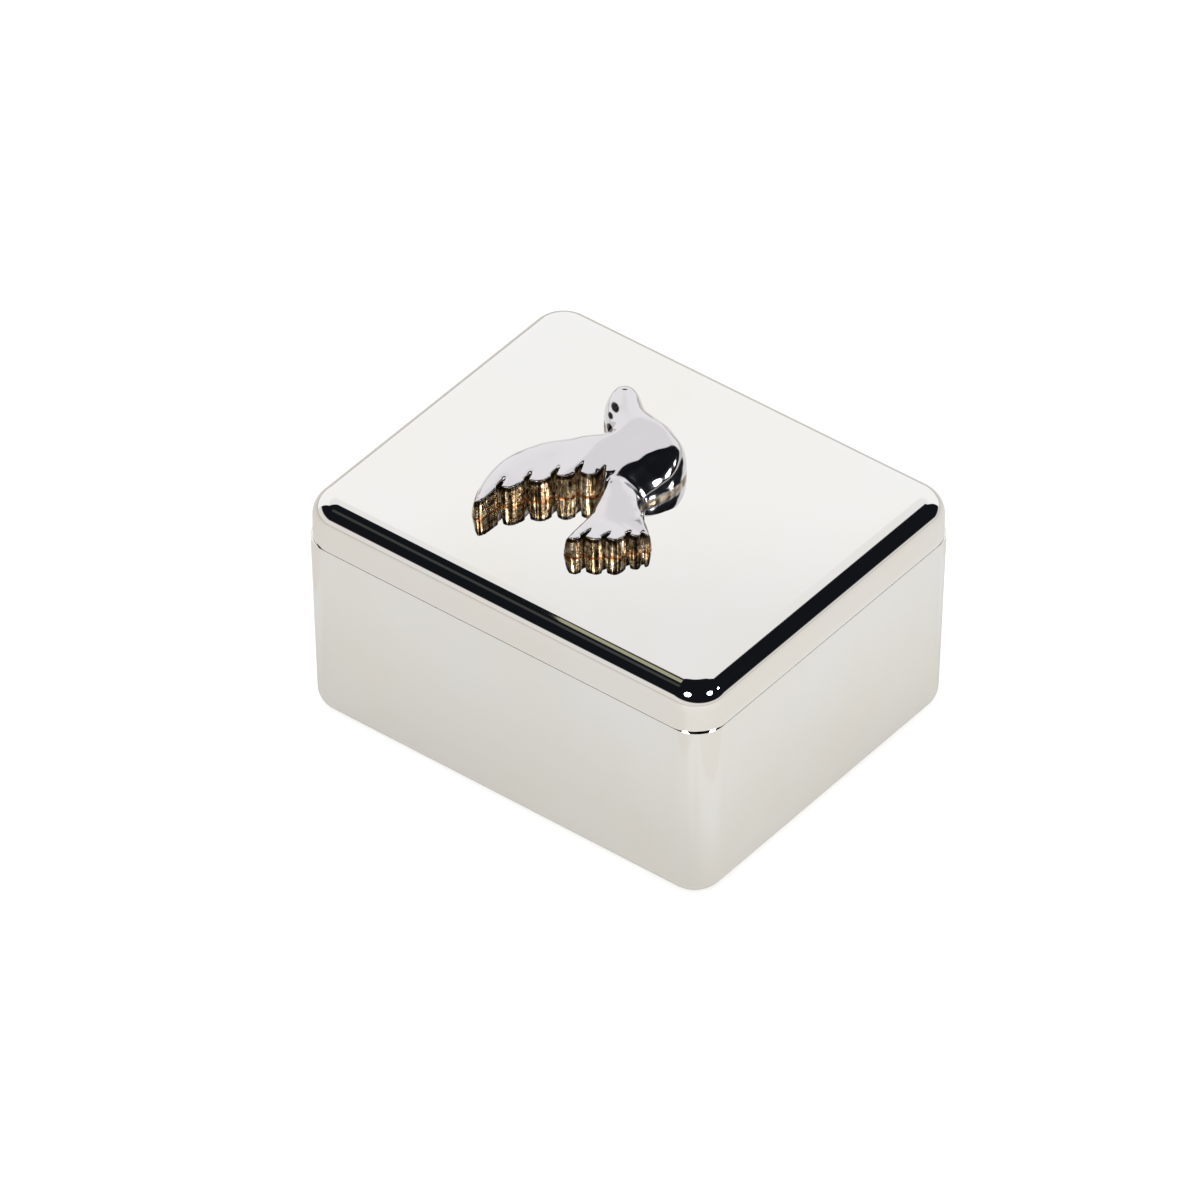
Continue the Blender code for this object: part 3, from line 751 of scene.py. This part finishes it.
def level_back(dove):
    """Brings the neck, the back and the tail's root to one gentle slope."""
    places, normals = corners_of(dove), directions_of(dove)
    x, y = places[:, 0], places[:, 1]
    slope = LID_HIGH.z + 0.00662 + 0.12 * y + 0.045 * np.minimum(y - 0.002, 0) - 0.025 * np.minimum(y + 0.002, 0)
    lower = ease(x, -0.0100, -0.0070) * ease(y, -0.0150, -0.0110) * ease(y, 0.0150, 0.0110)
    over = np.maximum(places[:, 2] - slope, 0)
    places[:, 2] -= over * lower * 0.85
    notch = np.clip(bump_at(places, (-0.0045, -0.0006), 0.0032) * 2.2, 0, 1)
    top = ease(normals[:, 2], 0.75, 0.95) * ease(places[:, 2], LID_HIGH.z + 0.0030, LID_HIGH.z + 0.0040)
    top = np.maximum(top, notch * ease(normals[:, 2], 0.05, 0.30))
    lift = ease(y, -0.0125, -0.0085) * ease(y, 0.0060, 0.0030) * ease(x, -0.0100, -0.0060)
    under = np.maximum(slope - places[:, 2], 0)
    places[:, 2] += np.minimum(under, 0.0018 + 0.0022 * notch) * lift * top
    height = places[:, 2] - LID_HIGH.z
    share = 0.10 * bump_at(places, (-0.0108, 0.0105), 0.0040) - 0.04 * bump_at(places, (-0.0140, 0.0168), 0.0040)
    places[:, 2] += height * share * (height > 0)
    put_corners(dove, places)


def lean_feathers(dove):
    """Leans the feathered walls out towards their foot, as a casting's walls do."""
    places, normals = corners_of(dove), directions_of(dove)
    wall = ease(np.abs(normals[:, 2]), 0.7, 0.3) * np.clip(1 - (from_feathers(places) - 0.003) / 0.002, 0, 1)
    depth = np.clip(LID_HIGH.z + 0.0052 - places[:, 2], 0, 0.0060)
    places[:, :2] += normals[:, :2] * (wall * depth * 0.05)[:, None]
    put_corners(dove, places)


# Plan of the body's right side: a rounded outline with one straight part, in metres
SIDE_CENTRE, SIDE_RADIUS = (-0.0035, 0.0055), 0.0108
STRAIGHT_WAY, STRAIGHT_AT = (0.9976, -0.0698), 0.00985


def shape_flank(dove):
    """Fills out the side of the body that faces right, and bevels it down to a short wall."""
    places = corners_of(dove)
    y = places[:, 1]
    apart = places[:, :2] - np.array(SIDE_CENTRE)
    radius = np.linalg.norm(apart, axis=1)
    side = ease(places[:, 0], 0.0, 0.0030) * ease(y, -0.0040, 0.0010) * ease(y, 0.0150, 0.0100)
    wider = 0.0010 * side * ease(radius, 0.0050, 0.0095)
    places[:, :2] += apart / np.maximum(radius, 1e-6)[:, None] * wider[:, None]
    inside = np.minimum(SIDE_RADIUS - radius - wider, STRAIGHT_AT - apart @ np.array(STRAIGHT_WAY))
    inside = np.maximum(inside, 0)
    wall_height = 0.0021 + 0.14 * np.clip(y + 0.001, 0, 0.005) + 0.36 * np.clip(y - 0.004, 0, 0.007)
    limit = LID_HIGH.z + wall_height + 0.73 * inside + 0.42 * np.minimum(inside, 0.0017)
    window = ease(y, -0.0042, -0.0006) * ease(places[:, 0], -0.0015, 0.0026) * ease(y, 0.0150, 0.0110)
    places[:, 2] -= np.maximum(places[:, 2] - limit, 0) * window
    put_corners(dove, places)


def draw_in_beak(dove):
    """Rounds the beak in towards its underside."""
    places = corners_of(dove)
    near_beak = np.clip(1 - np.linalg.norm(places[:, :2] - np.array((-0.0140, 0.0098)), axis=1) / 0.0045, 0, 1)
    low = np.clip((0.0585 - places[:, 2]) / 0.0045, 0, 1)
    push = 0.0016 * near_beak**0.5 * low**1.5
    places[:, 0] += 0.79 * push
    places[:, 1] += 0.62 * push
    put_corners(dove, places)


def soften(dove):
    """Smooths the body well, its head and the tail's root broadly, and the feathered ends a little."""
    places, normals = corners_of(dove), directions_of(dove)
    away = from_feathers(places)
    notch = np.clip(bump_at(places, (-0.0045, -0.0010), 0.0028) * 1.5, 0, 1)
    weigh(dove, "body", np.clip((away - 0.0030) / 0.004, 0, 1) * (1 - notch))
    finish_modifier(dove, "SMOOTH", factor=0.5, iterations=40, vertex_group="body")
    head = ease(bump_at(places, (-0.0120, 0.0135), 0.0050), 0.25, 0.70)
    top = ease(normals[:, 2], 0.45, 0.75) * ease(places[:, 2], LID_HIGH.z + 0.0030, LID_HIGH.z + 0.0036)
    root = ease(bump_at(places, (0.0040, -0.0078), 0.0050), 0.20, 0.50) * ease(places[:, 1], -0.0030, -0.0045)
    root *= np.clip((away - 0.0030) / 0.001, 0, 1)
    weigh(dove, "broad", np.maximum(head, root) * top)
    finish_modifier(dove, "SMOOTH", factor=0.5, iterations=500, vertex_group="broad")
    finish_modifier(dove, "SMOOTH", factor=0.5, iterations=5)


def cut_at_lid(dove):
    edit(dove)
    bpy.ops.mesh.select_all(action="SELECT")
    bpy.ops.mesh.bisect(plane_co=(0, 0, LID_HIGH.z + 0.00001), plane_no=(0, 0, 1), clear_inner=True)
    pick(dove, "EDGE", lambda c: all(v.z < LID_HIGH.z + 0.00002 for v in c))
    bpy.ops.mesh.fill(use_beauty=False)
    bpy.ops.mesh.select_all(action="SELECT")
    bpy.ops.mesh.normals_make_consistent(inside=False)
    done()


# Painted dark spots, shade and dark reflection at the eye and the beak and a ring on the crown: place on the dove,
# half width across the picture, half height
PAINTED_DARK_SPOTS = (
    ((-0.0130, 0.0123, 0.0605), 0.00065, 0.00095),
    ((-0.0128, 0.0106, 0.0596), 0.00040, 0.00065),
    ((-0.0115, 0.0086, 0.0585), 0.00050, 0.00080),
    ((-0.0139, 0.0165, 0.0619), 0.00048, 0.00012),
)


def hollows_of(dove):
    """How far each place lies below its smoothed surroundings, in metres."""
    places, normals = corners_of(dove), directions_of(dove)
    rounder = bpy.data.objects.new("rounder", dove.data.copy())
    bpy.context.scene.collection.objects.link(rounder)
    finish_modifier(rounder, "SMOOTH", factor=0.5, iterations=30)
    rise = ((corners_of(rounder) - places) * normals).sum(axis=1)
    bpy.data.objects.remove(rounder)
    return np.maximum(rise, 0)


def below_edge(places, normals):
    """How far each place lies below the nearest part of the dove's top, in metres."""
    tops = np.flatnonzero(normals[:, 2] > 0.8)
    tree = KDTree(len(tops))
    for index in tops:
        x, y, _ = places[index]
        tree.insert((x, y, 0), int(index))
    tree.balance()
    found = np.full(len(places), 1.0)
    for index in np.flatnonzero((normals[:, 2] < 0.6) & (from_feathers(places) < 0.006)):
        x, y, z = places[index]
        found[index] = places[tree.find((x, y, 0))[1], 2] - z
    return found


def mark_patina_and_painted_shade(dove):
    """Writes where the walls take patina with painted reflection, where the foot is darker, and where painted shade
    lies under the edges, in the hollows, at the eye and at the beak.
    """
    places, normals = corners_of(dove), directions_of(dove)
    upright = 1 - np.clip((np.abs(normals[:, 2]) - 0.25) / 0.45, 0, 1)
    ends = np.clip(1 - (from_feathers(places) - 0.003) / 0.002, 0, 1)
    height = places[:, 2] - LID_HIGH.z
    # Where the walls take patina mixed with painted reflection.
    stain = np.clip(upright * (ends + 0.5 * ease(height, 0.0022, 0.0)), 0, 1)
    # Darker along the foot, where the dove meets the lid.
    foot = ease(height, 0.00055, 0.00015) * ends
    depth = below_edge(places, normals)
    # Painted shade in a band just under the feathers' top edges.
    rim = ease(depth, 0.00005, 0.0003) * ease(depth, 0.0013, 0.0006) * ends
    right, up, _ = (np.array(axis) for axis in camera_axes())
    # Painted shade in the hollows near the feather ends.
    mark = np.clip(hollows_of(dove) / 0.00006 - 0.3, 0, 1) * ends * (height > 0.0015)
    mark *= 1 - np.clip(bump_at(places, (-0.0038, -0.0026), 0.0012) * 1.5, 0, 1)
    for centre, half_width, half_height in PAINTED_DARK_SPOTS:
        apart = places - np.array(centre)
        across, upward = apart @ right, apart @ up
        spot = 1.6 - np.hypot((across + 0.25 * upward) / half_width, upward / half_height)
        mark = np.maximum(mark, np.clip(spot, 0, 1))
    for name, values in (("stain", stain), ("foot", foot), ("rim", rim), ("mark", mark)):
        attribute = dove.data.attributes.new(name, "FLOAT", "POINT")
        attribute.data.foreach_set("value", values.astype(np.float32))


# Lining


class KEEPSAKE_OT_lining(bpy.types.Operator):
    """Models the lined tray, and gives the boards and felt their finish"""

    bl_idname = "keepsake.lining"
    bl_label = "Lining"

    def execute(self, context):
        shape = context.scene.keepsake_shape
        inset = shape.wall + shape.clearance
        lean = shape.base_lean * (SEAM - TRAY_LOW.z) / (SEAM - BASE_LOW.z)
        tray = start_box("tray_lined", TRAY_LOW, TRAY_HIGH)
        lean_in(tray, TRAY_LOW.z, lean)
        round_box(
            tray, shape.base_corner - inset, shape.base_edge - inset, TRAY_LOW.z, 12, 8
        )
        open_face(tray, TRAY_HIGH.z)
        wall(tray, shape.tray_wall)
        low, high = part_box("hinge_base_leaf")
        gap = shape.clearance
        notch = start_box(
            "tray_notch",
            (low.x - gap, low.y - shape.tray_wall - 0.002, low.z - gap),
            (high.x + gap, high.y + gap, TRAY_HIGH.z + 0.002),
        )
        cut_away(tray, notch)
        smooth(tray)
        hand_over(tray, "base", "navy_velvet", bpy.data.materials["Navy velvet"], "lining_tray")
        for node, finish in (("base_felt", "Black felt"), ("floor_board", "Grey card"), ("lid_board", "Grey card")):
            dress(node, finish)
        return {"FINISHED"}


def dress(node, finish):
    """Gives a frame node a better finish."""
    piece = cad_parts[node]
    piece.data.materials.clear()
    piece.data.materials.append(bpy.data.materials[finish])


class KEEPSAKE_OT_pads(bpy.types.Operator):
    """Swells the velvet pads of the floor and of the lid"""

    bl_idname = "keepsake.pads"
    bl_label = "Pads"

    def execute(self, context):
        shape = context.scene.keepsake_shape
        for node, body, crown in (("floor_pad", "base", 1), ("lid_pad", "lid", -1)):
            pad = make_pad(node, crown, shape.pad_swell)
            hand_over(pad, body, "navy_velvet", bpy.data.materials["Navy velvet"], node)
        return {"FINISHED"}


PAD_SCALE = 12.0


def make_pad(node, crown, swell):
    """A thin pad with a rolled edge, swelled as cloth at a larger scale and brought back."""
    low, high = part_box(node)
    centre = (low + high) / 2
    half = (high - low) / 2
    flat = half.z * 0.55
    pad = start_box(f"{node}_velvet", centre - half, centre + half)
    round_box(pad, 0.0035, 0, 0, 6, 0)
    lone(pad)
    finish_modifier(pad, "BEVEL", width=half.z * 0.8, segments=4, limit_method="ANGLE")
    for vert in pad.data.vertices:
        vert.co = (vert.co - centre) * PAD_SCALE
        vert.co.z *= flat / half.z
    finish_modifier(pad, "REMESH", mode="VOXEL", voxel_size=0.0012 * PAD_SCALE)
    before = corners_of(pad)
    rim = np.maximum(
        np.abs(before[:, 0]) / (half.x * PAD_SCALE), np.abs(before[:, 1]) / (half.y * PAD_SCALE)
    )
    back = before[:, 2] * crown < -0.35 * flat * PAD_SCALE
    weigh(pad, "held", np.where(back | (rim > 0.975), 1.0, 0.0))
    lone(pad)
    cloth = pad.modifiers.new("Cloth", "CLOTH")
    cloth.settings.quality = 6
    cloth.settings.mass = 0.3
    cloth.settings.use_pressure = True
    cloth.settings.uniform_pressure_force = swell
    cloth.settings.tension_stiffness = 12
    cloth.settings.compression_stiffness = 12
    cloth.settings.bending_stiffness = 2.0
    cloth.settings.vertex_group_mass = "held"
    cloth.settings.effector_weights.gravity = 0
    cloth.point_cache.frame_start = 1
    cloth.point_cache.frame_end = 16
    for step in range(1, 17):
        bpy.context.scene.frame_set(step)
    bpy.ops.object.modifier_apply(modifier=cloth.name)
    bpy.context.scene.frame_set(1)
    after = corners_of(pad)
    room = (half.z - flat) * PAD_SCALE
    moved = after - before
    moved[:, 2] = np.clip(moved[:, 2] * crown, -0.2 * room, 1.9 * room) * crown
    moved[:, :2] = np.clip(moved[:, :2], -0.4 * room, 0.4 * room)
    placed = (before + moved) / PAD_SCALE
    placed[:, 2] -= crown * (half.z - flat) * 0.98
    placed += np.array(centre)
    placed = np.clip(placed, np.array(low), np.array(high))
    pad.data.vertices.foreach_set("co", placed.astype(np.float32).ravel())
    pad.data.update()
    finish_modifier(pad, "SMOOTH", factor=0.5, iterations=3)
    finish_modifier(pad, "SUBSURF", levels=1, render_levels=1)
    smooth(pad, 60.0, weighted=False)
    return pad


# Hinge and fixings


class KEEPSAKE_OT_fixings(bpy.types.Operator):
    """Gives the hinge, the screws and the washers their finish"""

    bl_idname = "keepsake.fixings"
    bl_label = "Hinge and fixings"

    def execute(self, context):
        for node in ("hinge_base_leaf", "hinge_lid_leaf"):
            dress(node, "Hinge metal")
        for node in ("hinge_pin", "dove_screw_body", "dove_screw_wing", "dove_washer_body", "dove_washer_wing"):
            dress(node, "Screw steel")
        return {"FINISHED"}


# Stage


class KEEPSAKE_OT_stage(bpy.types.Operator):
    """Makes the camera, the floor, the white card and the dark room that the metal shows"""

    bl_idname = "keepsake.stage"
    bl_label = "Stage"

    def execute(self, context):
        stage = context.scene.keepsake_stage
        make_camera(context.scene)
        make_floor(stage)
        make_room(context.scene, stage)
        make_lamps()
        make_slat()
        context.scene.view_settings.view_transform = "Standard"
        return {"FINISHED"}


def camera_axes():
    """The photograph's camera: its right, its up and the way back to it."""
    a, e, r = CAMERA_AZIMUTH, CAMERA_ELEVATION, CAMERA_ROLL
    back = Vector((math.sin(a) * math.cos(e), -math.cos(a) * math.cos(e), math.sin(e)))
    right = Vector((math.cos(a), math.sin(a), 0))
    up = back.cross(right)
    return math.cos(r) * right + math.sin(r) * up, math.cos(r) * up - math.sin(r) * right, back


def make_camera(scene):
    right, up, back = camera_axes()
    data = bpy.data.cameras.new("Camera")
    data.sensor_width = 36
    data.lens = CAMERA_LENS
    data.shift_x, data.shift_y = CAMERA_SHIFT
    data.clip_start, data.clip_end = 0.1, 50
    camera = bpy.data.objects.new("Camera", data)
    scene.collection.objects.link(camera)
    stand = Matrix((right, up, back)).transposed().to_4x4()
    stand.translation = CAMERA_TARGET + back * CAMERA_DISTANCE
    camera.matrix_world = stand
    scene.camera = camera


def make_floor(stage):
    bpy.ops.object.select_all(action="DESELECT")
    bpy.ops.mesh.primitive_plane_add(size=stage.floor_size, location=(0, 0, 0))
    floor = bpy.context.object
    floor.name = "studio_floor"
    material, f = new_finish("Studio floor")
    rays = f.tree.nodes.new("ShaderNodeLightPath")
    seen = Wire(f, rays.outputs["Is Camera Ray"])
    mirrored = Wire(f, rays.outputs["Is Glossy Ray"]).larger(Wire(f, rays.outputs["Is Transmission Ray"]))
    paper = f.noise(9.0, 2.0, 0.5)
    tone = f.blend(paper, (0.34, 0.335, 0.32, 1), (0.36, 0.355, 0.34, 1))
    matt = f.node("ShaderNodeBsdfDiffuse", None, {"Color": tone})
    x, y, _ = f.axes(f.place())
    away = ((x.size() - 0.050) * 1.62).larger((y.size() - 0.041) * 1.27).larger(0.0)
    # Painted shadow: near the box, the floor that the metal shows is dimmer and warmer.
    near = away.ramp(0.046, 0.0)
    # Painted pool of light: to the right of the box, the floor that the metal shows is brighter.
    side = x.ramp(0.046, 0.060) * 0.12 + 1.0
    strength = seen * 0.80 + mirrored * side * (near * -0.24 + 1.0) * stage.floor_mirror
    white, warm, rosy = (1.0, 0.995, 0.985, 1), (1.0, 0.96, 0.88, 1), (0.97, 0.92, 0.86, 1)
    glow = f.blend(mirrored * near, white, warm)
    glow = f.blend(mirrored * away.ramp(0.0500, 0.0525), glow, rosy)
    glow = f.node("ShaderNodeEmission", None, {"Color": glow, "Strength": strength})
    both = f.node("ShaderNodeAddShader", None, {0: matt, 1: glow})
    f.node("ShaderNodeOutputMaterial", None, {"Surface": both})
    floor.data.materials.append(material)


def make_room(scene, stage):
    """A dark room with a white card behind the box and a pale surround low down."""
    world = bpy.data.worlds.new("Studio room")
    scene.world = world
    f = Finish(world)
    x, y, z = f.axes(f.node("ShaderNodeTexCoord", output="Generated"))
    card_way, dark_way = math.radians(-140), math.radians(-40)
    toward_card = x * math.sin(card_way) - y * math.cos(card_way)
    toward_front = x * math.sin(dark_way) - y * math.cos(dark_way)
    degrees = 180 / math.pi
    height = z.maths("ARCSINE", z) * degrees
    beside = x * math.cos(card_way) + y * math.sin(card_way)
    white_card = (toward_card * stage.card_height - z).ramp(-0.02, 0.03)
    white_card *= (toward_card * 1.7 - beside.size()).ramp(-0.03, 0.03)
    low_top = toward_front * 6.5 + 10.5
    low = (low_top - height).ramp(-2.0, 2.0)
    faint = y.ramp(-0.26, -0.30) * y.ramp(-0.46, -0.40) * x.ramp(-0.40, -0.44) * x.ramp(-0.56, -0.50)
    dim = f.blend(faint * 0.12, (0.0075, 0.0085, 0.0115, 1), (0.40, 0.42, 0.36, 1))
    pale = f.blend(low, dim, tuple(c * stage.wall_light for c in (1.0, 0.965, 0.93)) + (1,))
    fall = (height - 38.0).ramp(1.0, 8.0)
    white, shaded = (tuple(c * stage.card_light for c in tone) + (1,) for tone in ((1.0, 1.0, 0.99), (0.89, 0.885, 0.88)))
    white = f.blend(fall, white, shaded)
    colour = f.blend(white_card, pale, white)
    shade = f.node("ShaderNodeBackground", None, {"Color": colour, "Strength": 1.0})
    f.node("ShaderNodeOutputWorld", None, {"Surface": shade})


def make_lamps():
    """A soft lamp for the cloth, which the metal doesn't show, and small bright ones that it does."""
    add_lamp("Soft lamp", 38, 62, 0.9, 0.50, 7.0, False)
    add_lamp("Left lamp", 10, 43, 1.2, 0.38, 4.0)
    add_lamp("Middle lamp", 89, 39, 1.2, 0.32, 3.0)
    add_lamp("Right lamp", 122, 32, 1.2, 0.14, 0.8)


def make_slat():
    """A small khaki slat over the box, which the front edge of the lid shows."""
    way = Vector((-0.472, -0.015, 0.881))
    bpy.ops.object.select_all(action="DESELECT")
    bpy.ops.mesh.primitive_plane_add(size=0.037, location=Vector((0.030, -0.038, 0.052)) + way * 0.30)
    slat = bpy.context.object
    slat.name = "studio_slat"
    edit(slat)
    bpy.ops.mesh.select_all(action="SELECT")
    bpy.ops.transform.resize(value=(1, 1.9, 1))
    done()
    slat.visible_camera = False
    slat.visible_shadow = False
    slat.visible_diffuse = False
    material, f = new_finish("Khaki slat")
    glow = f.node("ShaderNodeEmission", None, {"Color": (0.40, 0.40, 0.27, 1), "Strength": 1.0})
    f.node("ShaderNodeOutputMaterial", None, {"Surface": glow})
    slat.data.materials.append(material)


def add_lamp(name, azimuth, elevation, distance, size, watts, mirrored=True):
    """A lamp aimed at the box. Azimuth is from the front towards the right side."""
    a, e = math.radians(azimuth), math.radians(elevation)
    way = Vector((math.sin(a) * math.cos(e), -math.cos(a) * math.cos(e), math.sin(e)))
    data = bpy.data.lights.new(name, "AREA")
    data.shape = "DISK"
    data.size = size
    data.energy = watts
    lamp = bpy.data.objects.new(name, data)
    bpy.context.scene.collection.objects.link(lamp)
    lamp.location = Vector((0, 0, LID_HIGH.z)) + way * distance
    lamp.rotation_euler = way.to_track_quat("Z", "Y").to_euler()
    lamp.visible_glossy = mirrored
    return lamp


class KEEPSAKE_PT_panel(bpy.types.Panel):
    """Lists the box's pieces"""

    bl_label = "Keepsake box"
    bl_idname = "KEEPSAKE_PT_panel"
    bl_space_type = "VIEW_3D"
    bl_region_type = "UI"
    bl_category = "Keepsake box"

    def draw(self, context):
        for group in ("keepsake_shape", "keepsake_finish", "keepsake_stage"):
            settings = getattr(context.scene, group)
            box = self.layout.box()
            for name in settings.__annotations__:
                box.prop(settings, name)
        for operator in OPERATORS:
            self.layout.operator(operator.bl_idname)


GROUPS = (KeepsakeShape, KeepsakeFinish, KeepsakeStage)
OPERATORS = (
    KEEPSAKE_OT_stage,
    KEEPSAKE_OT_base,
    KEEPSAKE_OT_lid,
    KEEPSAKE_OT_dove,
    KEEPSAKE_OT_lining,
    KEEPSAKE_OT_pads,
    KEEPSAKE_OT_fixings,
)


def register():
    for made in (*GROUPS, *OPERATORS, KEEPSAKE_PT_panel):
        bpy.utils.register_class(made)
    bpy.types.Scene.keepsake_shape = bpy.props.PointerProperty(type=KeepsakeShape)
    bpy.types.Scene.keepsake_finish = bpy.props.PointerProperty(type=KeepsakeFinish)
    bpy.types.Scene.keepsake_stage = bpy.props.PointerProperty(type=KeepsakeStage)


def unregister():
    del bpy.types.Scene.keepsake_stage
    del bpy.types.Scene.keepsake_finish
    del bpy.types.Scene.keepsake_shape
    for made in reversed((*GROUPS, *OPERATORS, KEEPSAKE_PT_panel)):
        bpy.utils.unregister_class(made)


def make_finishes(finish):
    polished_silver(tuple(finish.silver), 0.030)
    satin_silver(tuple(finish.dove), 0.085)
    velvet(tuple(finish.velvet))
    felt(tuple(finish.felt))
    card(tuple(finish.card))
    brushed_metal("Hinge metal", (0.72, 0.70, 0.66), 0.20, 1800.0)
    brushed_metal("Screw steel", (0.60, 0.60, 0.62), 0.26, 2400.0)


def main():
    register()
    make_finishes(bpy.context.scene.keepsake_finish)
    bpy.ops.keepsake.stage()
    bpy.ops.keepsake.base()
    bpy.ops.keepsake.lid()
    bpy.ops.keepsake.dove()
    bpy.ops.keepsake.lining()
    bpy.ops.keepsake.pads()
    bpy.ops.keepsake.fixings()
    lone(bpy.data.objects["lid_plated"])


if __name__ == "__main__":
    main()
